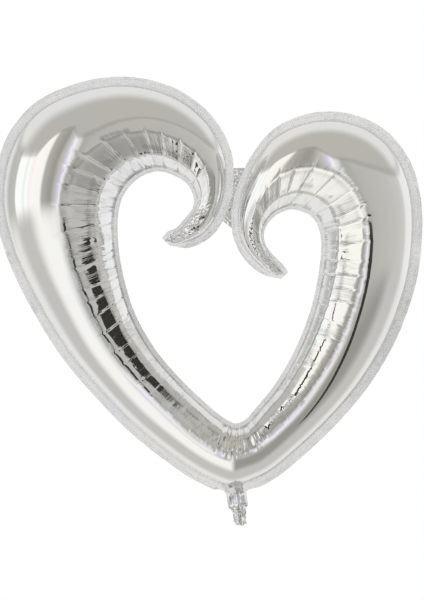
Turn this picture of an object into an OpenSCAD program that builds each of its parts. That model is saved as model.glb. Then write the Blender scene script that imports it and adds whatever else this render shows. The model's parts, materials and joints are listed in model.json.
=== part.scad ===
// Openwork heart balloon of metallised film, filled, with its flat valve and folding neck.
// The front faces -Y and Z is up. The origin is the root of the neck, where a ribbon is tied.

/* [Heart] */
// Width over the welded borders
heart_w = 900; // [700:10:1200]
// Height from the root of the neck to the top of the larger lobe
heart_h = 870; // [680:10:1160]
// Depth of the filled tube as a share of its width
plump = 0.85; // [0.6:0.05:1]

/* [Film] */
// Thickness of the metallised film
film_t = 0.04; // [0.03:0.01:0.08]
// Thickness of a weld: two sheets and the sealing layer between them
weld_t = 0.1; // [0.08:0.01:0.15]
// Width of the welded border round the outside
outer_border_w = 19; // [10:1:26]
// Width of the welded border round the opening
inner_border_w = 9; // [5:1:14]

/* [Neck] */
// Width of the neck
neck_w = 42; // [34:1:54]
// Length from the tie down to the first fold
collar_len = 8; // [5:1:14]
// Length between the two folds
neck_len = 24; // [16:1:40]
// Length of the tail below the second fold
tail_len = 40; // [25:1:60]
// Width of the tail at its open end
mouth_w = 30; // [26:1:42]
// Width of the weld down each side of the neck
side_weld_w = 5; // [3:1:7]
// Radius that eases the neck into the border
neck_fillet = 6; // [3:1:12]
// Lean of the neck away from straight down, in degrees
neck_lean = 9; // [0:1:15]
// Gap between the pieces on either side of a fold
fold_gap = 0.6; // [0.4:0.1:1]

/* [Valve] */
// Thickness of each valve film
valve_film_t = 0.025; // [0.02:0.005:0.03]
// Thickness of the coating that keeps the valve from being welded shut
coat_t = 0.01; // [0.005:0.005:0.015]
// Gap down each side between the valve and the neck's side welds
valve_side_gap = 4; // [2:0.5:6]
// Length of the valve that lies in the tail
valve_tail_len = 18; // [10:1:22]
// Length of the fixed valve above the tie
valve_root_len = 15; // [13:1:22]
// Length of the coated patch
coat_len = 16; // [8:1:18]
// Length of the lips that lie loose in the balloon
lip_len = 60; // [30:1:70]

/* [Resolution] */
// Stations from one rib to the next
steps = 3; // [2:1:4]
// Flats across one sheet
flats = 8; // [6:1:10]

/* [Hidden] */

front = -1;
back = 1;
left = -1;
right = 1;

// A rib runs straight across one arm of the heart, from its outer edge to its inner edge:
// [outer x, outer z, inner x, inner z]. The ribs go from the curled tip of the arm to the lower corner.
drawn_w = 900;              // the size of heart that the ribs are given for
drawn_h = 870;
corner_rib = [-9, -12, 0, 140];
left_ribs = [
    [-139, 515, -155, 531],
    [ -96, 511, -143, 545],
    [ -50, 536, -126, 552],
    [ -20, 583, -108, 571],
    [  -5, 649,  -91, 594],
    [ -13, 723,  -89, 618],
    [ -58, 796, -103, 645],
    [-135, 849, -129, 662],
    [-233, 870, -160, 671],
    [-337, 855, -189, 665],
    [-429, 809, -214, 649],
    [-488, 727, -233, 625],
    [-508, 618, -244, 597],
    [-488, 512, -248, 554],
    [-437, 398, -242, 481],
    [-370, 288, -217, 386],
    [-299, 202, -175, 306],
    [-225, 126, -120, 239],
    [-139,  57,  -56, 178],
    [ -76,  17,  -23, 152],
    corner_rib
];
right_ribs = [
    [  94, 445,  110, 459],
    [  52, 457,  101, 473],
    [  16, 490,   87, 487],
    [  -6, 536,   74, 501],
    [  -8, 592,   63, 517],
    [   8, 653,   59, 535],
    [  40, 715,   63, 554],
    [  84, 763,   76, 572],
    [ 151, 792,   93, 584],
    [ 225, 795,  113, 591],
    [ 294, 771,  135, 588],
    [ 349, 721,  154, 580],
    [ 382, 649,  170, 561],
    [ 392, 555,  179, 527],
    [ 379, 439,  176, 471],
    [ 337, 319,  160, 391],
    [ 277, 218,  130, 309],
    [ 206, 135,   86, 229],
    [ 122,  57,   41, 173],
    [  63,  15,   21, 150],
    corner_rib
];
bridge_left = [2.7, 4.4];       // the bridge meets each arm between these ribs, counted from its tip
bridge_right = [3.3, 5.4];
tip_flat = 1;                   // stations from the tip over which an arm lies flat
tip_swell = 3;                  // stations more over which it fills out
max_border_share = 0.3;         // the borders narrow where an arm gets thin

function reversed(list) = [for (i = [len(list) - 1:-1:0]) list[i]];

// Ribs to stations: a smooth curve through four ribs, at t of the way from the second to the third.
function curve(a, b, c, d, t) = 0.5 * (
    2 * b + (c - a) * t + (2 * a - 5 * b + 4 * c - d) * pow(t, 2) + (3 * b - a - 3 * c + d) * pow(t, 3)
);
function sized(rib) = [
    rib[0] * heart_w / drawn_w, rib[1] * heart_h / drawn_h,
    rib[2] * heart_w / drawn_w, rib[3] * heart_h / drawn_h
];
function station(ribs, i, t) = sized(curve(
    i == 0 ? 2 * ribs[0] - ribs[1] : ribs[i - 1],
    ribs[i],
    ribs[i + 1],
    i + 2 < len(ribs) ? ribs[i + 2] : 2 * ribs[i + 1] - ribs[i],
    t
));
// The last two stations before the corner are the gate, where the border stops beside the neck, and one
// half way to it.
function gate_share(ribs, side) =
    let (from = hung(outer_edge(sized(ribs[len(ribs) - 2])))[0], to = hung(outer_edge(sized(corner_rib)))[0])
    (side * (neck_w / 2 + neck_fillet) - from) / (to - from);
function arm(ribs, side) = concat(
    [for (i = [0:len(ribs) - 3], k = [0:steps - 1]) station(ribs, i, k / steps)],
    [for (t = [0, 0.5, 1] * gate_share(ribs, side)) station(ribs, len(ribs) - 2, t)],
    [sized(corner_rib)]
);

// Places on a rib
function outer_edge(r) = [r[0], r[1]];
function inner_edge(r) = [r[2], r[3]];
function rib_len(r) = norm(inner_edge(r) - outer_edge(r));
function along(r, distance) = outer_edge(r) + (inner_edge(r) - outer_edge(r)) / rib_len(r) * distance;
function outer_border(r) = min(outer_border_w, max_border_share * rib_len(r));
function inner_border(r) = min(inner_border_w, max_border_share * rib_len(r));
function outer_seam(r) = along(r, outer_border(r));
function inner_seam(r) = along(r, rib_len(r) - inner_border(r));
function tube_w(r) = rib_len(r) - outer_border(r) - inner_border(r);
function at(p, y) = [p[0], y, p[1]];

left_arm = arm(left_ribs, left);
right_arm = arm(right_ribs, right);
corner = len(left_arm) - 1;
gate = corner - 1;
whole_run = concat(left_arm, reversed([for (i = [0:gate]) right_arm[i]]));
function fullness(i) =
    let (from_tip = min(i, len(whole_run) - 1 - i) - tip_flat)
    from_tip <= 0 ? 0 : min(1, sqrt(from_tip / tip_swell));

// The curve of one sheet over a rib, from the outer seam to the inner one. room is 0 on its inside face.
function arch(r, full, room, side) = [
    for (j = [0:flats])
        let (a = 180 * j / flats, reach = tube_w(r) / 2)
        at(along(r, outer_border(r) + reach - (reach + room) * cos(a)),
           side * (weld_t / 2 + (full * plump * reach + room) * sin(a)))
];
function strip(r, from, to, y) = [at(along(r, from), y), at(along(r, to), y)];

// Two triangles over one end of a quad a-b-c-d, split from b to d or from a to c, so that none is a
// sliver where the sheet lies flat.
function cap(a, b, c, d, from_b) = from_b ? [[a, b, d], [b, c, d]] : [[a, b, c], [a, c, d]];

// A closed solid through a row of sections. A section is two matched lists of points, one for each face.
// Both faces are split along the same diagonals, so that a thin sheet keeps its thickness.
module skin(sections) {
    n = len(sections[0][0]);
    last = len(sections) - 1;
    function up(i, j) = i * 2 * n + j;
    function low(i, j) = i * 2 * n + n + j;
    faces = concat(
        [for (i = [0:last - 1], j = [0:n - 2]) each [
            [up(i, j), up(i + 1, j + 1), up(i, j + 1)],
            [up(i, j), up(i + 1, j), up(i + 1, j + 1)],
            [low(i, j), low(i, j + 1), low(i + 1, j + 1)],
            [low(i, j), low(i + 1, j + 1), low(i + 1, j)]
        ]],
        [for (i = [0:last - 1]) each [
            [up(i, 0), low(i, 0), low(i + 1, 0)],
            [up(i, 0), low(i + 1, 0), up(i + 1, 0)],
            [up(i, n - 1), low(i + 1, n - 1), low(i, n - 1)],
            [up(i, n - 1), up(i + 1, n - 1), low(i + 1, n - 1)]
        ]],
        [for (j = [0:n - 2]) each concat(
            cap(up(0, j), up(0, j + 1), low(0, j + 1), low(0, j), j < n / 2 - 1),
            cap(up(last, j), low(last, j), low(last, j + 1), up(last, j + 1), j < n / 2 - 1)
        )]
    );
    polyhedron([for (s = sections) each concat(s[0], s[1])], faces);
}

// Flat pieces are drawn in the plane of the heart, x across and z up, and lie between two depths.
module plate(outline, y_from, y_to) {
    translate([0, y_to, 0])
        rotate([90, 0, 0])
            linear_extrude(height = y_to - y_from)
                polygon(outline);
}

// The envelope
module panel(side) {
    outer = [for (i = [0:len(whole_run) - 1]) arch(whole_run[i], fullness(i), film_t, side)];
    inner = [for (i = [0:len(whole_run) - 1]) arch(whole_run[i], fullness(i), 0, side)];
    color("silver")
        skin([
            for (i = [0:len(whole_run) - 1])
                side == front ? [outer[i], inner[i]] : [inner[i], outer[i]]
        ]);
}
module front_panel() {
    panel(front);
}
module back_panel() {
    panel(back);
}

module border(stations, from, to) {
    color("gainsboro")
        skin([
            for (i = [0:len(stations) - 1])
                [for (y = [-weld_t / 2, weld_t / 2]) strip(stations[i], from[i], to[i], y)]
        ]);
}
module outer_border_left() {
    run = [for (i = [0:gate]) left_arm[i]];
    border(run, [for (r = run) 0], [for (r = run) outer_border(r)]);
}
module outer_border_right() {
    run = [for (i = [gate:-1:0]) right_arm[i]];
    border(run, [for (r = run) 0], [for (r = run) outer_border(r)]);
}
module inner_border() {
    border(
        whole_run,
        [for (r = whole_run) rib_len(r) - inner_border(r)],
        [for (r = whole_run) rib_len(r)]
    );
}

// The web that holds the two curled arms together
module hook_bridge() {
    function edge(list, ribs) = [
        for (i = [round(ribs[0] * steps):round(ribs[1] * steps)])
            outer_edge(list[i])
    ];
    color("gainsboro")
        plate(concat(edge(left_arm, bridge_left), reversed(edge(right_arm, bridge_right))),
              -weld_t / 2, weld_t / 2);
}

// The weld that closes the tube at the tip of an arm
module hook_tip_weld(list) {
    color("gainsboro")
        plate(
            concat(
                [for (i = [0:tip_flat]) outer_seam(list[i])],
                [for (i = [tip_flat:-1:0]) inner_seam(list[i])]
            ),
            -weld_t / 2, weld_t / 2
        );
}
module hook_tip_weld_left() {
    hook_tip_weld(left_arm);
}
module hook_tip_weld_right() {
    hook_tip_weld(right_arm);
}

// The neck is laid out hanging straight down from the tie and then leaned over as a whole.
fold_z = -collar_len;
crease_z = fold_z - neck_len;
mouth_z = crease_z - tail_len;
valve_mouth_z = crease_z - valve_tail_len;
lip_hinge_z = valve_root_len;

// Half widths at a depth below the tie
function tail_share(z) = z > crease_z ? 0 : (crease_z - z) / tail_len;
function neck_half(z) = neck_w / 2 + tail_share(z) * (mouth_w - neck_w) / 2;
function channel_half(z) = neck_half(z) - side_weld_w;
function valve_half(z) = channel_half(z) - valve_side_gap;

// From the plane of the heart to the plane of the hanging neck, and back
function hung(p) = [
    p[0] * cos(neck_lean) + p[1] * sin(neck_lean), p[1] * cos(neck_lean) - p[0] * sin(neck_lean)
];
module leaned() {
    rotate([0, -neck_lean, 0])
        children();
}
function crossing(a, b, x) = a + (b - a) * (x - a[0]) / (b[0] - a[0]);

// Depths of the layers on one side of the neck's mid-plane: [nearest, furthest]
outer_layer = [weld_t / 2, weld_t / 2 + film_t];
valve_layer = [weld_t / 2 - valve_film_t, weld_t / 2];
coat_layer = [weld_t / 2 - valve_film_t - coat_t, weld_t / 2 - valve_film_t];
module layer(outline, depths, side) {
    plate(outline, min(side * depths), max(side * depths));
}

// A strip between two heights, where half_width gives its half width at the top and at the bottom
function band(z_top, z_low, half_top, half_low) = [
    [-half_top, z_top], [half_top, z_top], [half_low, z_low], [-half_low, z_low]
];
module outer_film(z_top, z_low, side) {
    color("silver")
        leaned()
            layer(band(z_top, z_low, channel_half(z_top) + film_t, channel_half(z_low) + film_t),
                  outer_layer, side);
}
module side_welds(z_top, z_low) {
    color("gainsboro")
        leaned()
            for (side = [left, right])
                plate([
                    [side * channel_half(z_top), z_top], [side * neck_half(z_top), z_top],
                    [side * neck_half(z_low), z_low], [side * channel_half(z_low), z_low]
                ], -weld_t / 2, weld_t / 2);
}
module valve_film(z_top, z_low, side) {
    color("whitesmoke")
        leaned()
            layer(band(z_top, z_low, valve_half(z_top), valve_half(z_low)), valve_layer, side);
}

// The collar: it closes the gap in the outer border and carries the neck
collar_low_z = fold_z + fold_gap / 2;
collar_corner = hung(outer_seam(left_arm[corner]));
function gate_seam(side) = hung(outer_seam(side == left ? left_arm[gate] : right_arm[gate]));
function gate_edge(side) = hung(outer_edge(side == left ? left_arm[gate] : right_arm[gate]));
function channel_top(side) = crossing(gate_seam(side), collar_corner, side * channel_half(0));
function fillet(a, b, c) = [for (t = [0:0.2:1]) a * pow(1 - t, 2) + b * 2 * t * (1 - t) + c * pow(t, 2)];

module collar_film(side) {
    lift = [0, -film_t];
    color("silver")
        leaned()
            layer([
                channel_top(left) + lift, collar_corner + lift, channel_top(right) + lift,
                [channel_half(0) + film_t, collar_low_z], [-channel_half(0) - film_t, collar_low_z]
            ], outer_layer, side);
}
module collar_front_film() {
    collar_film(front);
}
module collar_back_film() {
    collar_film(back);
}
module collar_side_welds() {
    color("gainsboro")
        leaned()
            for (side = [left, right])
                plate(concat(
                    [gate_seam(side), channel_top(side), [side * channel_half(0), collar_low_z]],
                    reversed(fillet(gate_edge(side), [side * neck_half(0), gate_edge(side)[1]],
                                    [side * neck_half(0), collar_low_z]))
                ), -weld_t / 2, weld_t / 2);
}

// The valve: fixed films up to its hinge, and two loose lips inside the balloon
module valve_root_front_film() {
    valve_film(lip_hinge_z - fold_gap / 2, collar_low_z, front);
}
module valve_root_back_film() {
    valve_film(lip_hinge_z - fold_gap / 2, collar_low_z, back);
}
module valve_release_coating() {
    coat_low_z = collar_low_z + 1;
    color("lightsteelblue")
        leaned()
            layer(band(coat_low_z + coat_len, coat_low_z, valve_half(0), valve_half(0)), coat_layer, front);
}
module valve_front_lip() {
    valve_film(lip_hinge_z + lip_len, lip_hinge_z + fold_gap / 2, front);
}
module valve_back_lip() {
    valve_film(lip_hinge_z + lip_len, lip_hinge_z + fold_gap / 2, back);
}

// The neck, between the two folds
neck_top_z = fold_z - fold_gap / 2;
neck_low_z = crease_z + fold_gap / 2;
module neck_front_film() {
    outer_film(neck_top_z, neck_low_z, front);
}
module neck_back_film() {
    outer_film(neck_top_z, neck_low_z, back);
}
module neck_side_welds() {
    side_welds(neck_top_z, neck_low_z);
}
module neck_valve_front_film() {
    valve_film(neck_top_z, neck_low_z, front);
}
module neck_valve_back_film() {
    valve_film(neck_top_z, neck_low_z, back);
}

// The tail, below the second fold
tail_top_z = crease_z - fold_gap / 2;
module tail_front_film() {
    outer_film(tail_top_z, mouth_z, front);
}
module tail_back_film() {
    outer_film(tail_top_z, mouth_z, back);
}
module tail_side_welds() {
    side_welds(tail_top_z, mouth_z);
}
module tail_valve_front_film() {
    valve_film(tail_top_z, valve_mouth_z, front);
}
module tail_valve_back_film() {
    valve_film(tail_top_z, valve_mouth_z, back);
}

front_panel();
back_panel();
outer_border_left();
outer_border_right();
inner_border();
hook_bridge();
hook_tip_weld_left();
hook_tip_weld_right();
collar_front_film();
collar_back_film();
collar_side_welds();
valve_root_front_film();
valve_root_back_film();
valve_release_coating();
valve_front_lip();
valve_back_lip();
neck_front_film();
neck_back_film();
neck_side_welds();
neck_valve_front_film();
neck_valve_back_film();
tail_front_film();
tail_back_film();
tail_side_welds();
tail_valve_front_film();
tail_valve_back_film();
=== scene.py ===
import json
import math

import bpy
import numpy as np
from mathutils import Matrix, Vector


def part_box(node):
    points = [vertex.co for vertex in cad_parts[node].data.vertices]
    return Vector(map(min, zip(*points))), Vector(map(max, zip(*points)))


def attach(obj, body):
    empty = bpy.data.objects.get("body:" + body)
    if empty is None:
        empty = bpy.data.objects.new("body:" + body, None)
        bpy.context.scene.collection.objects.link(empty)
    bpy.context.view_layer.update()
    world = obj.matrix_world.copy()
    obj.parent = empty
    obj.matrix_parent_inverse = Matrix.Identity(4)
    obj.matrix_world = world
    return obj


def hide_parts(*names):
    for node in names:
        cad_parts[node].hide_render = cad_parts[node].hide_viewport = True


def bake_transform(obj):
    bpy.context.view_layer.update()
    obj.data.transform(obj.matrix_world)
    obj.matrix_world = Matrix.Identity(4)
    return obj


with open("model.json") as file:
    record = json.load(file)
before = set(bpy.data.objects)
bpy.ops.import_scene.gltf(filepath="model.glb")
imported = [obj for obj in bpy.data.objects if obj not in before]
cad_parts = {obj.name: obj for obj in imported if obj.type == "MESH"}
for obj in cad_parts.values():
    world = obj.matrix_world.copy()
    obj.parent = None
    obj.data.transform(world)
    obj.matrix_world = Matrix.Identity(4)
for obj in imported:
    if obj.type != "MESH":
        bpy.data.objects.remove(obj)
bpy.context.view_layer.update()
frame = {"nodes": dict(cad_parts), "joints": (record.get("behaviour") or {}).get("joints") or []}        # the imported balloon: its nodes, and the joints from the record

nodes = frame["nodes"]
print("frame loaded,", len(nodes), "nodes")


# The plan of the heart. A rib runs across an arm, [outer x, outer z, inner x, inner z] in mm on a heart of
# the drawn size, from the curled tip of the arm to the lower corner. They are the ribs of the CAD sheets.
cornerRib = [-9, -12, 0, 140]
heartPlan = {
    "leftRibs": [
        [-139, 515, -155, 531], [-96, 511, -143, 545], [-50, 536, -126, 552], [-20, 583, -108, 571],
        [-5, 649, -91, 594], [-13, 723, -89, 618], [-58, 796, -103, 645], [-135, 849, -129, 662],
        [-233, 870, -160, 671], [-337, 855, -189, 665], [-429, 809, -214, 649], [-488, 727, -233, 625],
        [-508, 618, -244, 597], [-488, 512, -248, 554], [-437, 398, -242, 481], [-370, 288, -217, 386],
        [-299, 202, -175, 306], [-225, 126, -120, 239], [-139, 57, -56, 178], [-76, 17, -23, 152], cornerRib],
    "rightRibs": [
        [94, 445, 110, 459], [52, 457, 101, 473], [16, 490, 87, 487], [-6, 536, 74, 501],
        [-8, 592, 63, 517], [8, 653, 59, 535], [40, 715, 63, 554], [84, 763, 76, 572],
        [151, 792, 93, 584], [225, 795, 113, 591], [294, 771, 135, 588], [349, 721, 154, 580],
        [382, 649, 170, 561], [392, 555, 179, 527], [379, 439, 176, 471], [337, 319, 160, 391],
        [277, 218, 130, 309], [206, 135, 86, 229], [122, 57, 41, 173], [63, 15, 21, 150], cornerRib],
    "drawnWidth": 900,
    "drawnHeight": 870,
    "outerBorder": 0.019,
    "innerBorder": 0.009,
    "borderShare": 0.3,       # the borders narrow where an arm gets thin
    "plump": 0.85,            # depth of the filled tube over its width
    "flatTip": 1 / 3,         # ribs from the tip over which an arm lies flat
    "swell": 1.0,             # ribs more over which it fills out
    "weld": 0.0001,
    "cornerRound": 0.010,
    "pitch": 0.00135,         # spacing of the mesh along an arm
    "walkLine": 0.62,         # share of the way across at which that spacing is measured
}


def wander(s, pitch, seed):
    # a smooth random curve from -1 to 1 that turns about every pitch
    rng = np.random.default_rng(seed)
    s = np.asarray(s, float) / pitch
    base = np.floor(s).astype(int)
    low = base.min()
    knots = rng.uniform(-1, 1, base.max() - low + 3)
    t = s - base
    t = t * t * (3 - 2 * t)
    return knots[base - low] * (1 - t) + knots[base - low + 1] * t


def ruffle(s, v, pitchS, pitchV, seed):
    # the same over a surface
    rng = np.random.default_rng(seed)
    s, v = np.broadcast_arrays(np.asarray(s, float) / pitchS, np.asarray(v, float) / pitchV)
    a, b = np.floor(s).astype(int), np.floor(v).astype(int)
    a0, b0 = a.min(), b.min()
    knots = rng.uniform(-1, 1, (a.max() - a0 + 3, b.max() - b0 + 3))
    a, b = a - a0, b - b0
    p, q = s - a - a0, v - b - b0
    p, q = p * p * (3 - 2 * p), q * q * (3 - 2 * q)
    return (knots[a, b] * (1 - p) * (1 - q) + knots[a + 1, b] * p * (1 - q)
            + knots[a, b + 1] * (1 - p) * q + knots[a + 1, b + 1] * p * q)


def rise(x, low, high):
    # 0 before low, 1 after high
    t = np.clip((np.asarray(x, float) - low) / (high - low), 0, 1)
    return t * t * (3 - 2 * t)


def fineRibs(ribs):
    # a smooth curve through the ribs, 24 steps a rib, with the rib number of each step
    scale = np.array([cadWidth / heartPlan["drawnWidth"], cadHeight / heartPlan["drawnHeight"]] * 2)
    ribs = np.array(ribs, float) * scale
    padded = np.vstack([2 * ribs[0] - ribs[1], ribs, 2 * ribs[-1] - ribs[-2]])
    out, number = [], []
    for i in range(len(ribs) - 1):
        a, b, c, d = padded[i:i + 4]
        for t in np.arange(24) / 24:
            out.append(0.5 * (2 * b + (c - a) * t + (2 * a - 5 * b + 4 * c - d) * t ** 2
                              + (3 * b - a - 3 * c + d) * t ** 3))
            number.append(i + t)
    return np.vstack([out, ribs[-1:]]), np.array(number + [len(ribs) - 1.0])


def armStations(ribs):
    # the ribs again, an even pitch apart
    fine, number = fineRibs(ribs)
    share = heartPlan["walkLine"]
    line = fine[:, :2] * (1 - share) + fine[:, 2:] * share
    walked = np.concatenate([[0], np.cumsum(np.linalg.norm(np.diff(line, axis=0), axis=1))])
    places = np.linspace(0, walked[-1], int(walked[-1] / heartPlan["pitch"]) + 1)
    even = np.column_stack([np.interp(places, walked, fine[:, k]) for k in range(4)])
    return even, np.interp(places, walked, number)


def stationFacts(ribs, number, start):
    # everything that the sheets need at each station
    outer, inner = ribs[:, :2], ribs[:, 2:]
    span = np.linalg.norm(inner - outer, axis=1)
    across = (inner - outer) / span[:, None]
    outerBorder = np.minimum(heartPlan["outerBorder"], heartPlan["borderShare"] * span)
    innerBorder = np.minimum(heartPlan["innerBorder"], heartPlan["borderShare"] * span)
    reach = (span - outerBorder - innerBorder) / 2
    full = np.sqrt(np.clip((number - heartPlan["flatTip"]) / heartPlan["swell"], 0, 1))
    line = outer * (1 - heartPlan["walkLine"]) + inner * heartPlan["walkLine"]
    steps = np.linalg.norm(np.diff(line, axis=0), axis=1)
    walked = start + np.concatenate([[0], np.cumsum(steps)])
    heading = np.unwrap(np.arctan2(*np.gradient(line, axis=0).T[::-1]))
    bend = np.abs(np.gradient(heading) / np.gradient(walked))
    kernel = np.ones(41) / 41
    bend = np.convolve(np.pad(bend, 20, mode="edge"), kernel, mode="valid")
    return {"outer": outer, "inner": inner, "across": across, "span": span, "outerBorder": outerBorder,
            "innerBorder": innerBorder, "reach": reach, "full": full, "walked": walked, "bend": bend,
            "tip": number, "toCorner": np.abs(walked - walked[-1])}


jointAt = {j["name"]: np.array(j["pos_m"], float) for j in frame["joints"]}
lean = math.atan2(jointAt["neck_fold"][0], -jointAt["neck_fold"][2])      # of the neck, from straight down
boxes = [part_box(n) for n in ("outer_border_left", "outer_border_right")]
cadWidth = boxes[1][1].x - boxes[0][0].x
cadHeight = boxes[0][1].z
leftRun, leftNumber = armStations(heartPlan["leftRibs"])
rightRun, rightNumber = armStations(heartPlan["rightRibs"])
wholeRun = np.vstack([leftRun, rightRun[-2::-1]])       # tip to tip, with the corner rounded as the film rounds it
steps = np.arange(len(wholeRun)) - (len(leftRun) - 1)
blur = int(heartPlan["cornerRound"] / heartPlan["pitch"])
weights = np.exp(-0.5 * (np.arange(-3 * blur, 3 * blur + 1) / blur) ** 2)
soft = np.column_stack([np.convolve(np.pad(wholeRun[:, k], 3 * blur, mode="edge"), weights / weights.sum(), mode="valid")
                        for k in range(4)])
amount = (1 - rise(np.abs(steps), 2 * blur, 6 * blur))[:, None]
wholeRun = wholeRun * (1 - amount) + soft * amount
leftArm = stationFacts(wholeRun[:len(leftRun)], leftNumber, 0.0)
rightArm = stationFacts(wholeRun[len(leftRun) - 1:][::-1], rightNumber, 10.0)
print("arms laid out,", len(leftArm["walked"]), "and", len(rightArm["walked"]), "stations")


def clearSelection():
    bpy.ops.object.select_all(action="DESELECT")


def layGrid(name, place, pattern, outward, film, towards=-1.0, smooth=50):
    # place[i, j] is a point for each crossing of the grid, pattern[i, j] its place on the film's own map
    columns, rows = place.shape[0] - 1, place.shape[1] - 1
    clearSelection()
    bpy.ops.mesh.primitive_grid_add(x_subdivisions=columns, y_subdivisions=rows, size=2)
    piece = bpy.context.object
    piece.name = name
    mesh = piece.data
    mesh.name = name
    flat = np.empty(len(mesh.vertices) * 3)
    mesh.vertices.foreach_get("co", flat)
    flat = flat.reshape(-1, 3)
    i = np.rint((flat[:, 0] + 1) / 2 * columns).astype(int)
    j = np.rint((flat[:, 1] + 1) / 2 * rows).astype(int)
    mesh.vertices.foreach_set("co", place[i, j].ravel())
    corners = np.empty(len(mesh.loops), int)
    mesh.loops.foreach_get("vertex_index", corners)
    mesh.uv_layers[0].name = "filmMap"
    mesh.uv_layers[0].data.foreach_set("uv", pattern[i, j][corners].ravel())
    mesh.update()
    normals = np.empty(len(mesh.polygons) * 3)
    mesh.polygons.foreach_get("normal", normals)
    if np.sum(normals.reshape(-1, 3) @ np.array(outward)) < 0:
        bpy.ops.object.mode_set(mode="EDIT")
        bpy.ops.mesh.select_all(action="SELECT")
        bpy.ops.mesh.flip_normals()
        bpy.ops.object.mode_set(mode="OBJECT")
    wall = piece.modifiers.new("film", "SOLIDIFY")
    wall.thickness = film
    wall.offset = towards
    bpy.ops.object.modifier_apply(modifier=wall.name)
    bpy.ops.object.shade_smooth_by_angle(angle=math.radians(smooth))
    return piece


tubeLook = {
    "film": 0.00012,
    "outerRows": 12,
    "brickRows": 13,          # rows over the outer row of bricks
    "rimRows": 11,            # rows over the inner row
    "crown": 0.55,            # where the pleats start, from 0 at the outer seam to 1 at the inner one
    "midLine": 0.75,          # the crease that parts the two rows of bricks
    "brickFlat": 1.0,         # how far a brick is drawn flat
    "rimFlat": 0.8,
    "brickPitch": 0.038,
    "creaseDepth": 0.0022,
    "creaseWidth": 0.0014,
    "brickPuff": 0.00055,
    "brickTilt": 0.034,
    "ripple": 0.00020,
    "scallop": 0.0009,        # swelling of each brick along the ridge
    "fan": 0.0042,            # folds that spread from the lower corner
    "slack": 0.0012,
    "pucker": 0.0004,
    "bricksEnd": {"left": (0.12, 0.30), "right": (0.26, 0.48)},   # way from the lower corner where the creases fade
    "crinkle": 0.0027,        # of the curled tips
}


def brickLines(low, high, pitch, seed):
    rng = np.random.default_rng(seed)
    count = int((high - low) / pitch * 1.6) + 8
    return low - 0.02 + np.cumsum(pitch * rng.uniform(0.62, 1.38, count))


def brickRow(s, lines, seed):
    # depth of the creases, and where in its brick each point lies, from -1 to 1
    rng = np.random.default_rng(seed)
    after = np.clip(np.searchsorted(lines, s), 1, len(lines) - 1)
    left, right = lines[after - 1], lines[after]
    here = (2 * s - left - right) / (right - left)
    near = np.minimum(np.abs(s - left), np.abs(right - s))
    nearest = np.where(np.abs(s - left) < np.abs(right - s), after - 1, after)
    deep = rng.uniform(0.45, 1.25, len(lines))[nearest]
    tilt = rng.uniform(-1, 1, len(lines))[after]
    puff = rng.uniform(0.4, 1.5, len(lines))[after]
    return near, here, deep, tilt, puff, (right - left) / 2


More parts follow.
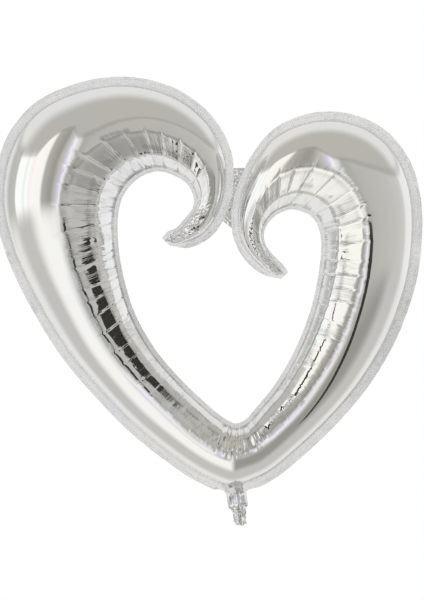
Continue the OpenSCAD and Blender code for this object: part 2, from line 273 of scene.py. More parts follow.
def filmShape(arm, side, seed, tube=tubeLook):
    # one sheet over one arm; side is -1 in front and 1 behind
    crown, midLine = tube["crown"], tube["midLine"]
    u = np.concatenate([
        np.linspace(0, crown, tube["outerRows"], endpoint=False),
        np.linspace(crown, midLine, tube["brickRows"], endpoint=False),
        np.linspace(midLine, 1, tube["rimRows"] + 1)])[None, :]
    s = arm["walked"][:, None]
    reach = arm["reach"][:, None]
    depth = reach * (arm["full"] * heartPlan["plump"])[:, None]
    kept = rise(arm["toCorner"], *tube["bricksEnd"]["left" if arm is leftArm else "right"])[:, None]
    turn = np.clip(0.2 + 0.17 * arm["bend"], 0, 1)[:, None] * (0.25 + 0.75 * kept)
    thin = np.clip(reach / 0.045, 0.15, 1)          # everything is finer where the arm is thin

    def arc(v):
        v = v * np.pi
        return -np.cos(v) * reach, np.sin(v) * depth

    across, out = arc(u)
    for low, high, flatness in ((crown, midLine, tube["brickFlat"]), (midLine, 1.0, tube["rimFlat"])):
        inside = (u > low) & (u <= high)
        share = (u - low) / (high - low)
        a, b = arc(np.full_like(u, low)), arc(np.full_like(u, high))
        chordAcross, chordOut = a[0] * (1 - share) + b[0] * share, a[1] * (1 - share) + b[1] * share
        pull = np.where(inside, flatness * turn, 0)
        across, out = across * (1 - pull) + chordAcross * pull, out * (1 - pull) + chordOut * pull

    slant = 0.006 * wander(s, 0.05, seed + 3)
    sBrick = s + slant * (u - crown) / 0.2
    lines = brickLines(s.min(), s.max(), tube["brickPitch"], seed)
    rng = np.random.default_rng(seed + 1)
    rimLines = np.sort(np.concatenate([lines[rng.uniform(size=len(lines)) < 0.85] + 0.002,
                                       lines[rng.uniform(size=len(lines)) < 0.4] + tube["brickPitch"] * 0.45]))
    bricks = rise(u, crown, crown + 0.035) * (1 - rise(u, midLine - 0.02, midLine + 0.004))
    rims = rise(u, midLine - 0.004, midLine + 0.03) * (1 - rise(u, 0.95, 1.0))
    shape = np.zeros(np.broadcast(s, u).shape)
    for window, places, rowSeed, low, high, share in (
            (bricks, lines, seed + 10, crown, midLine, 1.0), (rims, rimLines, seed + 20, midLine, 1.0, 1.15)):
        near, here, deep, tilt, puff, half = brickRow(sBrick, places, rowSeed)
        middle = (low + high) / 2
        shape += window * share * thin * (
            -tube["creaseDepth"] * deep * np.exp(-near / (tube["creaseWidth"] * np.sqrt(thin)))
            * (0.45 + 0.55 * turn) * (0.08 + 0.92 * kept)
            + turn * tube["brickPuff"] * puff * (1 - here ** 2)
            + turn * tube["brickTilt"] * tilt * half * here * 0.55
            + turn * tube["brickTilt"] * 0.5 * np.roll(tilt, 1) * (u - middle) * np.pi * reach)
    near, here, deep, tilt, puff, half = brickRow(sBrick, lines, seed + 10)
    scallop = np.exp(-((u - crown - 0.012) / 0.02) ** 2) * (1 - here ** 6)
    shape += tube["scallop"] * turn * thin * scallop * (0.6 + 0.4 * puff)
    gusts = np.clip(0.3 + wander(s, 0.06, seed + 4), 0, 1)
    fine = wander(s, 0.0042, seed + 5) * 0.6 + wander(s, 0.0075, seed + 6)
    nearMid = np.exp(-np.abs(u - midLine) / 0.07)
    nearCrown = np.exp(-np.abs(u - crown - 0.02) / 0.03) * (u > crown)
    shape += tube["ripple"] * thin * fine * gusts * (bricks + rims) * (0.35 + 1.2 * nearMid + 0.7 * nearCrown)
    shape += tube["ripple"] * 1.4 * thin * wander(s, 0.0055, seed + 7) * np.exp(-(1 - u) / 0.05) * (1 - rise(u, 0.985, 1))
    shape += tube["slack"] * ruffle(s, u, 0.13, 0.2, seed + 8) * np.sin(np.pi * u) * (1 - rise(u, crown - 0.1, crown))
    shape += (tube["pucker"] * wander(s, 0.007, seed + 9) * np.clip(0.3 + wander(s, 0.09, seed + 12), 0, 1)
              * np.exp(-u / 0.045) * rise(u, 0.0, 0.012))
    bottom = (1 - rise(arm["toCorner"], 0.03, 0.085))[:, None]
    spread = np.abs(wander(s, 0.0095, seed + 15)) + 0.3 * np.abs(wander(s, 0.005, seed + 16)) - 0.45
    shape -= (tube["fan"] * bottom * spread * rise(u, crown - 0.06, crown + 0.08) * (1 - rise(u, 0.93, 1.0))
              * rise(arm["toCorner"], 0, 0.004)[:, None])
    curled = (1 - rise(arm["tip"], 2.0, 4.6))[:, None] * rise(arm["tip"], 0.2, 0.9)[:, None]
    girth = u * 3.14 * reach
    crinkles = np.abs(ruffle(s, girth, 0.008, 0.007, seed + 13)) + 0.6 * ruffle(s, girth, 0.0045, 0.005, seed + 14)
    shape -= tube["crinkle"] * curled * crinkles * np.sin(np.pi * u) * (0.25 + 0.75 * rise(u, 0.35, 0.6))

    a = u * np.pi
    normalAcross, normalOut = -np.cos(a) * depth, np.sin(a) * reach
    size = np.maximum(np.hypot(normalAcross, normalOut), 1e-6)
    flatTip = arm["full"][:, None] < 1e-3
    shape = np.where(flatTip, 0, shape)
    across = across + shape * normalAcross / size
    out = np.maximum(out + shape * normalOut / size, 0) + heartPlan["weld"] / 2
    along = arm["outerBorder"][:, None] + reach + across
    plane = arm["outer"][:, None, :] + arm["across"][:, None, :] * along[..., None]
    place = np.stack([plane[..., 0], side * out, plane[..., 1]], axis=-1)
    pattern = np.stack(np.broadcast_arrays(s, u), axis=-1)
    return place, pattern


tubePieces = {}
for name, arm, side, seed in (("tubeFrontLeft", leftArm, -1, 41), ("tubeFrontRight", rightArm, -1, 141),
                              ("tubeBackLeft", leftArm, 1, 241), ("tubeBackRight", rightArm, 1, 341)):
    place, pattern = filmShape(arm, side, seed)
    piece = layGrid(name, place, pattern, (0, side, 0), tubeLook["film"])
    tubePieces[name] = piece
    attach(piece, "envelope")
    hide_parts("front_panel" if side < 0 else "back_panel")
print("film tube made,", sum(len(p.data.polygons) for p in tubePieces.values()), "faces")


borderLook = {
    "film": 0.0001,
    "outerRows": 8,
    "innerRows": 4,
    "wave": 0.0007,           # how far the free edge stands off the plane
    "crimp": 0.00016,
    "nick": 0.0010,           # gathers of the free edge, in a few places
    "tipCrumple": 0.0016,     # round the curled tips
    "gateReach": 0.044,       # the outer border stops this far to each side of the neck's middle
}


def borderShape(arm, inner, seed, border=borderLook):
    rows = border["innerRows"] if inner else border["outerRows"]
    v = np.linspace(0, 1, rows + 1)[None, :]         # 0 at the seam, 1 at the free edge
    s = arm["walked"][:, None]
    if inner:
        along = (arm["span"] - arm["innerBorder"])[:, None] + v * arm["innerBorder"][:, None]
    else:
        along = arm["outerBorder"][:, None] * (1 - v)
    size = 0.45 if inner else 1.0
    calm = 0.35 + 0.65 * np.clip(0.4 + wander(s, 0.11, seed), 0, 1)
    depth = size * (border["wave"] * wander(s, 0.016, seed + 1) * calm * v ** 1.5
                    + border["crimp"] * wander(s, 0.0052, seed + 2) * v * calm
                    + border["crimp"] * 0.7 * ruffle(s, v, 0.006, 0.3, seed + 3) * rise(v, 0, 0.3))
    gathered = np.clip(2.2 * wander(s, 0.045, seed + 5) - 1.1, 0, 1)
    depth = depth + size * border["nick"] * gathered * wander(s, 0.0046, seed + 6) * v ** 2
    atTip = (1 - rise(arm["tip"], 1.6, 4.2))[:, None]
    depth = depth + border["tipCrumple"] * atTip * v ** 0.7 * (
        np.abs(ruffle(s, v * 0.02, 0.0065, 0.006, seed + 7)) - 0.3 + 0.5 * ruffle(s, v * 0.02, 0.0035, 0.004, seed + 8))
    depth = depth * rise(arm["tip"], 0.0, 1.2)[:, None] * rise(arm["toCorner"], 0.0, 0.05)[:, None]
    trim = 0.0005 * np.clip(wander(s, 0.0065, seed + 4), 0, 1) * (v > 0.99) * size
    along = along - trim if inner else along + trim
    plane = arm["outer"][:, None, :] + arm["across"][:, None, :] * along[..., None]
    place = np.stack([plane[..., 0], depth, plane[..., 1]], axis=-1)
    return place, np.stack(np.broadcast_arrays(s, v), axis=-1)


def cutArm(arm, keep):
    return {k: (v[keep] if isinstance(v, np.ndarray) else v) for k, v in arm.items()}


def beforeGate(arm):
    # the stations where the outer border still runs
    aside = arm["outer"][:, 0] * math.cos(lean) + arm["outer"][:, 1] * math.sin(lean)
    return np.abs(aside) * (arm["toCorner"] < 0.3) + (arm["toCorner"] >= 0.3) >= borderLook["gateReach"]


for name, arm, inner, seed, node in (
        ("outerBorderLeft", leftArm, False, 51, "outer_border_left"),
        ("outerBorderRight", rightArm, False, 61, "outer_border_right"),
        ("innerBorderLeft", leftArm, True, 71, "inner_border"), ("innerBorderRight", rightArm, True, 81, "inner_border")):
    if not inner:
        arm = cutArm(arm, beforeGate(arm))
    place, pattern = borderShape(arm, inner, seed)
    piece = layGrid(name, place, pattern, (0, -1, 0), borderLook["film"], 0.0)
    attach(piece, "envelope")
    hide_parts(node)
    tubePieces[name] = piece
print("borders made")


webLook = {"leftRibs": (2.7, 4.4), "rightRibs": (3.3, 5.4), "across": 26, "along": 90, "crumple": 0.0022, "film": 0.0001}


def edgeAt(arm, ribs, count):
    at = np.linspace(*ribs, count)
    return np.column_stack([np.interp(at, arm["tip"], arm["outer"][:, k]) for k in (0, 1)])


count = webLook["along"] + 1
leftEdge, rightEdge = edgeAt(leftArm, webLook["leftRibs"], count), edgeAt(rightArm, webLook["rightRibs"], count)
p = np.linspace(0, 1, webLook["across"] + 1)[None, :, None]
plane = leftEdge[:, None, :] * (1 - p) + rightEdge[:, None, :] * p
p = p[..., 0]
held = np.sin(np.pi * p) ** 0.6
depth = webLook["crumple"] * held * (np.abs(ruffle(plane[..., 0], plane[..., 1], 0.009, 0.007, 91)) * 1.6 - 0.5
                                     + 0.5 * ruffle(plane[..., 0], plane[..., 1], 0.004, 0.0035, 92))
place = np.stack([plane[..., 0], depth, plane[..., 1]], axis=-1)
web = layGrid("armWeb", place, np.stack([plane[..., 1], np.broadcast_to(p, plane.shape[:2])], axis=-1), (0, -1, 0),
              webLook["film"], 0.0)
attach(web, "envelope")
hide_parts("hook_bridge")
tubePieces["armWeb"] = web


neckLook = {
    "half": 0.021,            # half width of the neck
    "mouthHalf": 0.015,
    "sideWeld": 0.005,
    "foldAt": -float(np.hypot(*jointAt["neck_fold"][[0, 2]])),
    "creaseAt": -float(np.hypot(*jointAt["tail_fold"][[0, 2]])),
    "splitAt": -0.026,        # the neck piece ends and the tail piece starts
    "mouthAt": -0.072,
    "columns": 44,
    "neckRows": 56,
    "tailRows": 80,
    "puff": 0.0035,
    "neckPuff": 0.0012,
    "crumple": 0.0062,
    "film": 0.00006,
}


def toHung(p):
    p = np.asarray(p, float)
    return np.stack([p[..., 0] * math.cos(lean) + p[..., 1] * math.sin(lean),
                     p[..., 1] * math.cos(lean) - p[..., 0] * math.sin(lean)], axis=-1)


def fromHung(p):
    return np.stack([p[..., 0] * math.cos(lean) - p[..., 1] * math.sin(lean),
                     p[..., 0] * math.sin(lean) + p[..., 1] * math.cos(lean)], axis=-1)


def alongLine(points, t):
    points = np.array(points, float)
    walked = np.concatenate([[0], np.cumsum(np.linalg.norm(np.diff(points, axis=0), axis=1))])
    return np.column_stack([np.interp(t * walked[-1], walked, points[:, k]) for k in (0, 1)])


def gateOf(arm):
    k = np.flatnonzero(beforeGate(arm))[-1]
    seam = arm["outer"][k] + arm["across"][k] * arm["outerBorder"][k]
    return toHung(arm["outer"][k]), toHung(seam)


def bow(a, b, c, count=12):
    t = np.linspace(0, 1, count)[:, None]
    return a * (1 - t) ** 2 + b * 2 * t * (1 - t) + c * t ** 2


def neckDepth(x, z, side, neck=neckLook):
    # how far a film stands off the middle of the neck
    half = np.where(z > neck["creaseAt"], neck["half"], neck["half"] + (z - neck["creaseAt"])
                    / (neck["mouthAt"] - neck["creaseAt"]) * (neck["mouthHalf"] - neck["half"]))
    inside = np.clip(1 - (np.abs(x) / (half - neck["sideWeld"])) ** 2, 0, 1) ** 0.7
    swell = neck["neckPuff"] + (neck["puff"] - neck["neckPuff"]) * rise(z, neck["foldAt"], 0.012)
    swell = swell * (1 - 0.75 * np.exp(-((z - neck["foldAt"]) / 0.003) ** 2))
    swell = swell * (1 - 0.8 * rise(z, 0.008, 0.02)) * (1 - 0.6 * rise(neck["foldAt"] - z, 0.012, 0.03))
    fine = 0.00035 * ruffle(x, z, 0.005, 0.02, 101) + 0.00025 * ruffle(x, z, 0.0025, 0.006, 102)
    shared = 0.0006 * ruffle(x, z, 0.011, 0.015, 103)
    return shared, side * (0.00012 + inside * np.maximum(swell + fine * 0.6, 0.0001))


def neckShape(side, neck=neckLook):
    (edgeL, seamL), (edgeR, seamR) = gateOf(leftArm), gateOf(rightArm)
    corner = leftArm["outer"][-1] + leftArm["across"][-1] * leftArm["outerBorder"][-1]
    p, q = np.linspace(0, 1, neck["columns"] + 1), np.linspace(0, 1, neck["neckRows"] + 1)
    top = alongLine([edgeL, seamL, toHung(corner), seamR, edgeR], p)
    sides = []
    for sign, edge in ((-1, edgeL), (1, edgeR)):
        foldTop = np.array([sign * neck["half"], neck["foldAt"]])
        curve = bow(edge, np.array([sign * neck["half"], edge[1]]), foldTop)
        sides.append(alongLine(np.vstack([curve, [[sign * neck["half"], neck["splitAt"]]]]), q))
    low = alongLine([sides[0][-1], sides[1][-1]], p)
    a, b = p[:, None, None], q[None, :, None]
    flat = ((1 - b) * top[:, None] + b * low[:, None] + (1 - a) * sides[0][None] + a * sides[1][None]
            - (1 - a) * (1 - b) * sides[0][0] - a * (1 - b) * sides[1][0]
            - (1 - a) * b * sides[0][-1] - a * b * sides[1][-1])
    shared, off = neckDepth(flat[..., 0], flat[..., 1], side)
    plane = fromHung(flat)
    calm = rise(b[..., 0], 0, 0.15)
    place = np.stack([plane[..., 0], shared * calm + off, plane[..., 1]], axis=-1)
    return place, np.stack([flat[..., 1], flat[..., 0] * 10], axis=-1)


def tailShape(side, neck=neckLook):
    p, q = np.linspace(-1, 1, neck["columns"] + 1)[:, None], np.linspace(0, 1, neck["tailRows"] + 1)[None, :]
    z = neck["splitAt"] + q * (neck["mouthAt"] - neck["splitAt"])
    share = np.clip((z - neck["creaseAt"]) / (neck["mouthAt"] - neck["creaseAt"]), 0, 1)
    half = neck["half"] + share * (neck["mouthHalf"] - neck["half"])
    x = p * half
    shared, off = neckDepth(x, z, side)
    amount = rise(q, 0.06, 0.4)
    folds = (np.abs(ruffle(x, z, 0.011, 0.010, 111)) * 1.7 - 0.55 + 0.45 * ruffle(x, z, 0.0055, 0.006, 112)
             + 0.8 * np.sin(x / 0.0055 + 2.0 * wander(z, 0.014, 113)))
    shared = shared + neck["crumple"] * amount * folds * 0.75
    crease = 0.0016 * np.exp(-np.abs(z - neck["creaseAt"]) / 0.0016)
    x = x * (1 - 0.24 * amount) + 0.0016 * amount * wander(z, 0.009, 114)
    z = z + amount * 0.0018 * wander(p * 0.02, 0.006, 115)
    flat = np.stack(np.broadcast_arrays(x, z), axis=-1)
    plane = fromHung(flat)
    place = np.stack([plane[..., 0], shared + off * (1 + amount) + crease, plane[..., 1]], axis=-1)
    return place, np.stack([flat[..., 1], flat[..., 0] * 10], axis=-1)


for name, side, replaced in (
        ("neckFront", -1, ("collar_front_film", "neck_front_film", "collar_side_welds", "neck_side_welds")),
        ("neckBack", 1, ("collar_back_film", "neck_back_film"))):
    place, pattern = neckShape(side)
    piece = layGrid(name, place, pattern, (0, side, 0), neckLook["film"])
    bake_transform(piece)
    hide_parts(*replaced)
    tubePieces[name] = piece
for name, side, replaced in (("tailFront", -1, ("tail_front_film", "tail_side_welds")),
                             ("tailBack", 1, ("tail_back_film",))):
    place, pattern = tailShape(side)
    piece = layGrid(name, place, pattern, (0, side, 0), neckLook["film"])
    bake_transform(piece)
    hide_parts(*replaced)
    tubePieces[name] = piece
print("neck and tail made")


valveLook = {"half": 0.012, "tipHalf": 0.0102, "film": 0.000025, "columns": 12, "rows": 40, "endAt": -0.050, "rootAt": 0.0148}


def valveShape(side, high, low, valve=valveLook):
    p, q = np.linspace(-1, 1, valve["columns"] + 1)[:, None], np.linspace(0, 1, valve["rows"] + 1)[None, :]
    z = high + q * (low - high)
    share = np.clip((z - neckLook["creaseAt"]) / (valve["endAt"] - neckLook["creaseAt"]), 0, 1)
    x = p * (valve["half"] + share * (valve["tipHalf"] - valve["half"]))
    squeezed = 1 - 0.24 * rise((z - neckLook["splitAt"]) / (neckLook["mouthAt"] - neckLook["splitAt"]), 0.06, 0.4)
    flat = np.stack(np.broadcast_arrays(x * squeezed, z), axis=-1)
    plane = fromHung(flat)
    return np.stack([plane[..., 0], np.full(plane.shape[:2], side * 0.00003), plane[..., 1]], axis=-1), flat * 10


for name, side, high, low, pair, zone, replaced in (
        ("valveNeckFront", -1, valveLook["rootAt"], neckLook["splitAt"], ("envelope", "neck"), "foldAt",
         ("valve_root_front_film", "neck_valve_front_film")),
        ("valveNeckBack", 1, valveLook["rootAt"], neckLook["splitAt"], ("envelope", "neck"), "foldAt",
         ("valve_root_back_film", "neck_valve_back_film")),
        ("valveTailFront", -1, neckLook["splitAt"], valveLook["endAt"], ("neck", "tail"), "creaseAt",
         ("tail_valve_front_film",)),
        ("valveTailBack", 1, neckLook["splitAt"], valveLook["endAt"], ("neck", "tail"), "creaseAt",
         ("tail_valve_back_film",))):
    place, pattern = valveShape(side, high, low)
    piece = layGrid(name, place, pattern, (0, side, 0), valveLook["film"])
    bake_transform(piece)
    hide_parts(*replaced)
    tubePieces[name] = piece
print("valve made")


def link(tree, a, b):
    tree.links.new(a, b)


def maths(tree, operation, a, b=None, c=None, clamp=False):
    node = tree.nodes.new("ShaderNodeMath")
    node.operation = operation
    node.use_clamp = clamp
    for k, value in enumerate((a, b, c)):
        if value is None:
            continue
        if isinstance(value, (int, float)):
            node.inputs[k].default_value = value
        else:
            tree.links.new(value, node.inputs[k])
    return node.outputs[0]


def remap(tree, value, low, high, toLow=0.0, toHigh=1.0, smooth=True):
    node = tree.nodes.new("ShaderNodeMapRange")
    node.interpolation_type = "SMOOTHSTEP" if smooth else "LINEAR"
    tree.links.new(value, node.inputs["Value"])
    for socket, number in (("From Min", low), ("From Max", high), ("To Min", toLow), ("To Max", toHigh)):
        node.inputs[socket].default_value = number
    return node.outputs["Result"]


def noise(tree, vector, scale, detail=2.0, rough=0.5):
    node = tree.nodes.new("ShaderNodeTexNoise")
    tree.links.new(vector, node.inputs["Vector"])
    node.inputs["Scale"].default_value = scale
    node.inputs["Detail"].default_value = detail
    node.inputs["Roughness"].default_value = rough
    return node.outputs["Fac"]


def newGroup(name, inputs, outputs):
    group = bpy.data.node_groups.new(name, "ShaderNodeTree")
    for label, kind, value in inputs:
        socket = group.interface.new_socket(name=label, in_out="INPUT", socket_type=kind)
        socket.default_value = value
    for label, kind in outputs:
        group.interface.new_socket(name=label, in_out="OUTPUT", socket_type=kind)
    return group, group.nodes.new("NodeGroupInput"), group.nodes.new("NodeGroupOutput")


def makeHairlines():
    # fine gathers that run across the film, thickest beside the seams and creases
    group, given, wanted = newGroup(
        "filmHairlines", [("Fineness", "NodeSocketFloat", 420.0), ("Everywhere", "NodeSocketFloat", 0.0)],
        [("Height", "NodeSocketFloat")])
    uv = group.nodes.new("ShaderNodeUVMap")
    uv.uv_map = "filmMap"
    apart = group.nodes.new("ShaderNodeSeparateXYZ")
    link(group, uv.outputs["UV"], apart.inputs[0])
    s, u = apart.outputs["X"], apart.outputs["Y"]
    joined = group.nodes.new("ShaderNodeCombineXYZ")
    link(group, maths(group, "MULTIPLY", s, given.outputs["Fineness"]), joined.inputs["X"])
    link(group, maths(group, "MULTIPLY", u, 7.0), joined.inputs["Y"])
    lines = noise(group, joined.outputs[0], 1.0, 2.0, 0.6)

    def band(at, narrow):
        off = maths(group, "ABSOLUTE", maths(group, "SUBTRACT", u, at))
        return maths(group, "SUBTRACT", 1.0, maths(group, "MULTIPLY", off, narrow), clamp=True)

    middle, crown = band(0.69, 16.0), band(0.54, 26.0)
    rim = remap(group, u, 0.88, 0.97)
    seam = remap(group, u, 0.035, 0.0)
    where = maths(group, "MAXIMUM", maths(group, "MAXIMUM", middle, crown), maths(group, "MAXIMUM", rim, seam))
    joined = group.nodes.new("ShaderNodeCombineXYZ")
    link(group, maths(group, "MULTIPLY", s, 34.0), joined.inputs["X"])
    link(group, maths(group, "MULTIPLY", u, 5.0), joined.inputs["Y"])
    gusts = remap(group, noise(group, joined.outputs[0], 1.0, 1.0), 0.40, 0.56)
    faint = maths(group, "MULTIPLY", remap(group, u, 0.5, 0.53), 0.6)
    amount = maths(group, "MULTIPLY", maths(group, "MAXIMUM", where, faint), gusts)
    amount = maths(group, "MAXIMUM", amount, given.outputs["Everywhere"])
    link(group, maths(group, "MULTIPLY", lines, amount), wanted.inputs["Height"])
    return group


def makeTint():
    # the silver drifts a little from warm to cool, and dulls where the film was handled
    group, given, wanted = newGroup("filmTint", [
        ("Warm", "NodeSocketColor", (0.9, 0.9, 0.88, 1)), ("Cool", "NodeSocketColor", (0.88, 0.89, 0.91, 1)),
        ("Scale", "NodeSocketFloat", 7.0), ("Smooth", "NodeSocketFloat", 0.03), ("Dull", "NodeSocketFloat", 0.08)],
        [("Color", "NodeSocketColor"), ("Roughness", "NodeSocketFloat")])
    place = group.nodes.new("ShaderNodeTexCoord")
    scaled = group.nodes.new("ShaderNodeVectorMath")
    scaled.operation = "SCALE"
    link(group, place.outputs["Object"], scaled.inputs[0])
    link(group, given.outputs["Scale"], scaled.inputs["Scale"])
    cloud = noise(group, scaled.outputs[0], 1.0, 3.0)
    mix = group.nodes.new("ShaderNodeMix")
    mix.data_type = "RGBA"
    link(group, remap(group, cloud, 0.35, 0.65), mix.inputs["Factor"])
    link(group, given.outputs["Warm"], mix.inputs["A"])
    link(group, given.outputs["Cool"], mix.inputs["B"])
    link(group, mix.outputs["Result"], wanted.inputs["Color"])
    wear = remap(group, noise(group, scaled.outputs[0], 5.0, 4.0), 0.5, 0.75)
    spread = maths(group, "SUBTRACT", given.outputs["Dull"], given.outputs["Smooth"])
    dulled = maths(group, "MULTIPLY", wear, spread)
    link(group, maths(group, "ADD", given.outputs["Smooth"], dulled), wanted.inputs["Roughness"])
    return group


def makeCrimp():
    # the press of the heated jaw and the small crumples of thin film
    group, given, wanted = newGroup("filmCrimp", [("Scale", "NodeSocketFloat", 160.0)], [("Height", "NodeSocketFloat")])
    place = group.nodes.new("ShaderNodeTexCoord")
    scaled = group.nodes.new("ShaderNodeVectorMath")
    scaled.operation = "SCALE"
    link(group, place.outputs["Object"], scaled.inputs[0])
    link(group, given.outputs["Scale"], scaled.inputs["Scale"])
    cells = group.nodes.new("ShaderNodeTexVoronoi")
    cells.feature = "F1"
    link(group, scaled.outputs[0], cells.inputs["Vector"])
    cells.inputs["Scale"].default_value = 1.0
    soft = noise(group, scaled.outputs[0], 0.6, 3.0)
    link(group, maths(group, "ADD", maths(group, "MULTIPLY", cells.outputs["Distance"], 0.6), soft), wanted.inputs["Height"])
    return group


hairlines, tint, crimp = makeHairlines(), makeTint(), makeCrimp()
finishes = {
    "foilMirror": {
        "metal": 1.0, "warm": (0.90, 0.895, 0.875), "cool": (0.885, 0.89, 0.90), "tintScale": 6.0,
        "smooth": 0.035, "dull": 0.075, "lines": 430.0, "everywhere": 0.0, "lineDepth": 0.00055,
        "lineStrength": 0.9, "lineShade": 0.42, "crimp": 0.0, "crimpScale": 100.0,
    },
    "weldedFoil": {
        "metal": 0.45, "warm": (0.93, 0.93, 0.92), "cool": (0.88, 0.885, 0.90), "tintScale": 14.0,
        "smooth": 0.24, "dull": 0.4, "lines": 150.0, "everywhere": 0.12, "lineDepth": 0.00012,
        "lineStrength": 0.25, "lineShade": 0.3, "crimp": 0.0, "crimpScale": 60.0,
    },
    "crumpledFoil": {
        "metal": 1.0, "warm": (0.90, 0.895, 0.88), "cool": (0.87, 0.88, 0.90), "tintScale": 30.0,
        "smooth": 0.05, "dull": 0.13, "lines": 240.0, "everywhere": 0.25, "lineDepth": 0.00025,
        "lineStrength": 0.3, "lineShade": 0.4, "crimp": 0.35, "crimpScale": 130.0,
    },
}


def makeFoil(name, look):
    material = bpy.data.materials.new(name)
    material.use_nodes = True
    tree = material.node_tree
    shader = tree.nodes["Principled BSDF"]
    shader.inputs["Metallic"].default_value = look["metal"]
    colours = tree.nodes.new("ShaderNodeGroup")
    colours.node_tree = tint
    colours.inputs["Warm"].default_value = (*look["warm"], 1)
    colours.inputs["Cool"].default_value = (*look["cool"], 1)
    colours.inputs["Scale"].default_value = look["tintScale"]
    colours.inputs["Smooth"].default_value = look["smooth"]
    colours.inputs["Dull"].default_value = look["dull"]
    link(tree, colours.outputs["Roughness"], shader.inputs["Roughness"])
    fine = tree.nodes.new("ShaderNodeGroup")
    fine.node_tree = hairlines
    fine.inputs["Fineness"].default_value = look["lines"]
    fine.inputs["Everywhere"].default_value = look["everywhere"]
    shade = tree.nodes.new("ShaderNodeMix")          # painted shade: the base colour is mixed towards dark grey along the gathers, where shade falls in their fine creases
    shade.data_type = "RGBA"
    deep = remap(tree, fine.outputs["Height"], 0.22, 0.46)
    link(tree, maths(tree, "MULTIPLY", deep, look["lineShade"]), shade.inputs["Factor"])
    link(tree, colours.outputs["Color"], shade.inputs["A"])
    # the dark grey of the painted shade
    shade.inputs["B"].default_value = (0.30, 0.30, 0.29, 1)
    link(tree, shade.outputs["Result"], shader.inputs["Base Color"])
    bump = tree.nodes.new("ShaderNodeBump")
    bump.inputs["Distance"].default_value = look["lineDepth"]
    bump.inputs["Strength"].default_value = look["lineStrength"]
    link(tree, fine.outputs["Height"], bump.inputs["Height"])
    last = bump
    if look["crimp"] > 0:
        press = tree.nodes.new("ShaderNodeGroup")
        press.node_tree = crimp
        press.inputs["Scale"].default_value = look["crimpScale"]
        last = tree.nodes.new("ShaderNodeBump")
        last.inputs["Distance"].default_value = 0.0006
        last.inputs["Strength"].default_value = look["crimp"]
        link(tree, press.outputs["Height"], last.inputs["Height"])
        link(tree, bump.outputs["Normal"], last.inputs["Normal"])
    link(tree, last.outputs["Normal"], shader.inputs["Normal"])
    return material


foilMirror = makeFoil("foilMirror", finishes["foilMirror"])
weldedFoil = makeFoil("weldedFoil", finishes["weldedFoil"])
crumpledFoil = makeFoil("crumpledFoil", finishes["crumpledFoil"])


def makePlastic(name, warm, cool, smooth, dull, clear):
    material = bpy.data.materials.new(name)
    material.use_nodes = True
    tree = material.node_tree
    shader = tree.nodes["Principled BSDF"]
    shader.inputs["Metallic"].default_value = 0.0
    shader.inputs["Transmission Weight"].default_value = clear
    shader.inputs["IOR"].default_value = 1.51
    colours = tree.nodes.new("ShaderNodeGroup")
    colours.node_tree = tint
    colours.inputs["Warm"].default_value = (*warm, 1)
    colours.inputs["Cool"].default_value = (*cool, 1)
    colours.inputs["Scale"].default_value = 60.0
    colours.inputs["Smooth"].default_value = smooth
    colours.inputs["Dull"].default_value = dull
    link(tree, colours.outputs["Color"], shader.inputs["Base Color"])
    link(tree, colours.outputs["Roughness"], shader.inputs["Roughness"])
    return material


clearFilm = makePlastic("clearFilm", (0.93, 0.93, 0.92), (0.89, 0.91, 0.94), 0.14, 0.3, 0.85)
heatCoating = makePlastic("heatCoating", (0.55, 0.64, 0.76), (0.47, 0.57, 0.72), 0.55, 0.75, 0.0)

finishOf = {"tube": foilMirror, "outerBorder": weldedFoil, "innerBorder": weldedFoil, "armWeb": crumpledFoil,
            "neck": crumpledFoil, "tail": crumpledFoil, "valve": clearFilm}
for name, piece in tubePieces.items():
    material = next(m for start, m in finishOf.items() if name.startswith(start))
    piece.data.materials.clear()
    piece.data.materials.append(material)
    if name.startswith("neck"):
        # the welded sides of the neck run on from the border
        piece.data.materials.append(weldedFoil)
        for face in piece.data.polygons:
            aside = abs(toHung(np.array(face.center)[[0, 2]])[0])
            face.material_index = int(aside > neckLook["half"] - neckLook["sideWeld"])
for name, node in nodes.items():
    node.data.materials.clear()
    node.data.materials.append(heatCoating if "coating" in name else clearFilm if "valve" in name else weldedFoil)
print("finishes made")


studio = {
    "cameraAt": (-0.05, -6.0, 0.401),
    "viewHeight": 1.26,
    "floorAt": -1.0,
    "floorSize": 12.0,
    # dark strips in front of the film, which draw its dark bands: place, size, lean and turn in degrees
    "flags": {"flagRight": ((0.335, -0.42, 0.20), (0.045, 0.62), 0, 0),
              "flagLeft": ((-0.21, -0.42, 0.355), (0.036, 0.33), -30, 0),
              "flagMiddle": ((-0.05, -0.25, 0.398), (0.10, 0.21), -34, 38)},
}

clearSelection()
bpy.ops.mesh.primitive_plane_add(size=studio["floorSize"], location=(0, 0, studio["floorAt"]))
floor = bpy.context.object
floor.name = "floor"
bpy.ops.object.transform_apply(location=True, rotation=True, scale=True)
paper = bpy.data.materials.new("floorPaper")
paper.use_nodes = True
paper.node_tree.nodes["Principled BSDF"].inputs["Base Color"].default_value = (0.86, 0.86, 0.86, 1)
paper.node_tree.nodes["Principled BSDF"].inputs["Roughness"].default_value = 0.9
floor.data.materials.append(paper)
floor.visible_glossy = False

cloth = bpy.data.materials.new("flagCloth")
cloth.use_nodes = True
cloth.node_tree.nodes["Principled BSDF"].inputs["Base Color"].default_value = (0.05, 0.05, 0.045, 1)
cloth.node_tree.nodes["Principled BSDF"].inputs["Roughness"].default_value = 1.0
for name, (at, size, leaning, turned) in studio["flags"].items():
    clearSelection()
    bpy.ops.mesh.primitive_plane_add(size=1, location=at,
                                     rotation=[math.radians(a) for a in (90, leaning, turned)])
    flag = bpy.context.object
    flag.name = name
    flag.scale = (size[0], size[1], 1)
    bpy.ops.object.transform_apply(location=True, rotation=True, scale=True)
    flag.data.materials.append(cloth)
    flag.visible_camera = False
    flag.visible_shadow = False
    flag.visible_diffuse = False

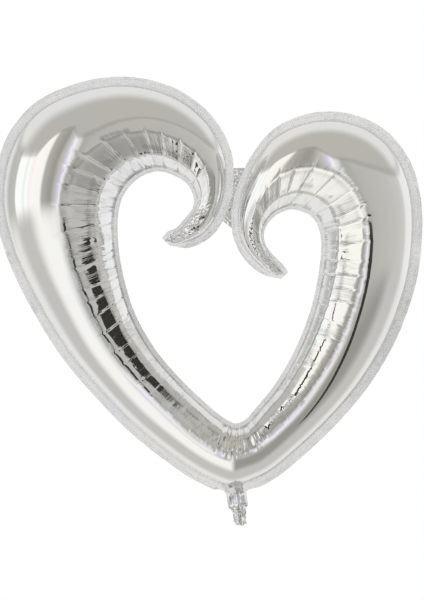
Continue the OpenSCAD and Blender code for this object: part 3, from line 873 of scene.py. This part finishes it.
# Round the room, from 0 at the left wall through the camera's side at 0.25, the right wall at 0.5 and the
# back at 0.75: place and colour.
roomWalls = [
    (0.000, 1.10, 1.10, 1.08), (0.036, 1.10, 1.10, 1.10), (0.052, 0.86, 1.02, 0.95), (0.068, 1.10, 1.10, 1.08),
    (0.088, 1.06, 0.96, 1.01), (0.104, 1.06, 1.06, 1.00), (0.148, 1.04, 1.03, 0.98), (0.166, 0.46, 0.45, 0.42),
    (0.205, 0.36, 0.355, 0.325), (0.226, 0.56, 0.56, 0.54), (0.235, 0.70, 0.66, 0.82), (0.243, 0.98, 0.97, 1.0),
    (0.254, 0.78, 0.78, 0.78), (0.268, 0.46, 0.46, 0.44), (0.300, 0.52, 0.515, 0.49), (0.345, 0.55, 0.54, 0.51),
    (0.400, 0.58, 0.57, 0.54), (0.460, 0.62, 0.61, 0.58), (0.500, 0.66, 0.65, 0.63), (0.540, 0.90, 0.90, 0.89),
    (0.620, 0.92, 0.92, 0.92), (0.690, 0.88, 0.88, 0.87), (0.722, 0.50, 0.50, 0.48), (0.778, 0.44, 0.44, 0.42),
    (0.808, 0.90, 0.90, 0.90), (0.880, 0.80, 0.80, 0.79), (0.930, 0.54, 0.54, 0.52),
    (0.985, 0.56, 0.56, 0.54), (1.000, 1.10, 1.10, 1.08)]

world = bpy.data.worlds.new("studioRoom")
bpy.context.scene.world = world
world.use_nodes = True
tree = world.node_tree
tree.nodes.clear()
look = tree.nodes.new("ShaderNodeTexCoord")
apart = tree.nodes.new("ShaderNodeSeparateXYZ")
link(tree, look.outputs["Generated"], apart.inputs[0])
around = tree.nodes.new("ShaderNodeTexGradient")
around.gradient_type = "RADIAL"
link(tree, look.outputs["Generated"], around.inputs["Vector"])
ramp = tree.nodes.new("ShaderNodeValToRGB")
ramp.color_ramp.interpolation = "EASE"
while len(ramp.color_ramp.elements) > 1:
    ramp.color_ramp.elements.remove(ramp.color_ramp.elements[0])
for k, (at, *colour) in enumerate(roomWalls):
    stop = ramp.color_ramp.elements[0] if k == 0 else ramp.color_ramp.elements.new(at)
    stop.position = at
    stop.color = (*colour, 1)
link(tree, around.outputs["Fac"], ramp.inputs["Fac"])


def blendColour(factor, a, b):
    mix = tree.nodes.new("ShaderNodeMix")
    mix.data_type = "RGBA"
    link(tree, factor, mix.inputs["Factor"])
    for socket, value in (("A", a), ("B", b)):
        if isinstance(value, tuple):
            mix.inputs[socket].default_value = (*value, 1)
        else:
            link(tree, value, mix.inputs[socket])
    return mix.outputs["Result"]


wide, deep, high = apart.outputs["X"], apart.outputs["Y"], apart.outputs["Z"]
ceiling = blendColour(remap(tree, deep, -0.25, 0.3), (0.52, 0.51, 0.475), (0.82, 0.82, 0.81))
tallWindow = maths(tree, "MULTIPLY", remap(tree, deep, -0.5, -0.68), remap(tree, wide, 0.0, -0.2))
reached = maths(tree, "SUBTRACT", high, maths(tree, "MULTIPLY", tallWindow, 0.26))
room = blendColour(remap(tree, reached, 0.29, 0.49), ramp.outputs["Color"], ceiling)
edge = maths(tree, "MULTIPLY", remap(tree, reached, 0.32, 0.38), remap(tree, reached, 0.50, 0.40))
room = blendColour(maths(tree, "MULTIPLY", edge, 0.3), room, (0.24, 0.24, 0.22))
ground = blendColour(remap(tree, wide, -0.16, 0.2), (1.02, 1.01, 0.97), (0.34, 0.335, 0.31))
ground = blendColour(remap(tree, deep, -0.8, -0.45), ground, (0.60, 0.59, 0.565))
ground = blendColour(remap(tree, deep, -0.1, 0.4), ground, (0.86, 0.86, 0.85))
room = blendColour(remap(tree, high, -0.10, -0.30), room, ground)
inRoom = tree.nodes.new("ShaderNodeBackground")
link(tree, room, inRoom.inputs["Color"])
plain = tree.nodes.new("ShaderNodeBackground")
plain.inputs["Color"].default_value = (1, 1, 1, 1)
ray = tree.nodes.new("ShaderNodeLightPath")
choose = tree.nodes.new("ShaderNodeMixShader")
link(tree, ray.outputs["Is Camera Ray"], choose.inputs[0])
link(tree, inRoom.outputs[0], choose.inputs[1])
link(tree, plain.outputs[0], choose.inputs[2])
output = tree.nodes.new("ShaderNodeOutputWorld")
link(tree, choose.outputs[0], output.inputs["Surface"])

for name, at, size, power in (("softLeft", (-3.9, -2.4, 0.7), 1.8, 9), ("softTop", (0.6, 1.6, 3.4), 2.0, 8),
                              ("softFront", (0.9, -4.0, 1.3), 2.2, 42)):
    lamp = bpy.data.lights.new(name, "AREA")
    lamp.shape = "RECTANGLE"
    lamp.size, lamp.size_y = size, size * 0.7
    lamp.energy = power
    holder = bpy.data.objects.new(name, lamp)
    bpy.context.scene.collection.objects.link(holder)
    holder.location = at
    towards = np.array((0, 0, 0.4)) - np.array(at)
    holder.rotation_euler = (math.atan2(math.hypot(towards[0], towards[1]), -towards[2]), 0,
                             math.atan2(towards[0], -towards[1]) + math.pi)
    holder.visible_camera = False
    holder.visible_glossy = False

lens = bpy.data.cameras.new("camera")
lens.lens = 36.0 * -studio["cameraAt"][1] / studio["viewHeight"]
lens.sensor_width = 36.0
lens.clip_end = 60.0
camera = bpy.data.objects.new("camera", lens)
bpy.context.scene.collection.objects.link(camera)
camera.location = studio["cameraAt"]
camera.rotation_euler = (math.radians(90), 0, 0)
bpy.context.scene.camera = camera
bpy.context.scene.view_settings.view_transform = "Standard"
print("studio made")
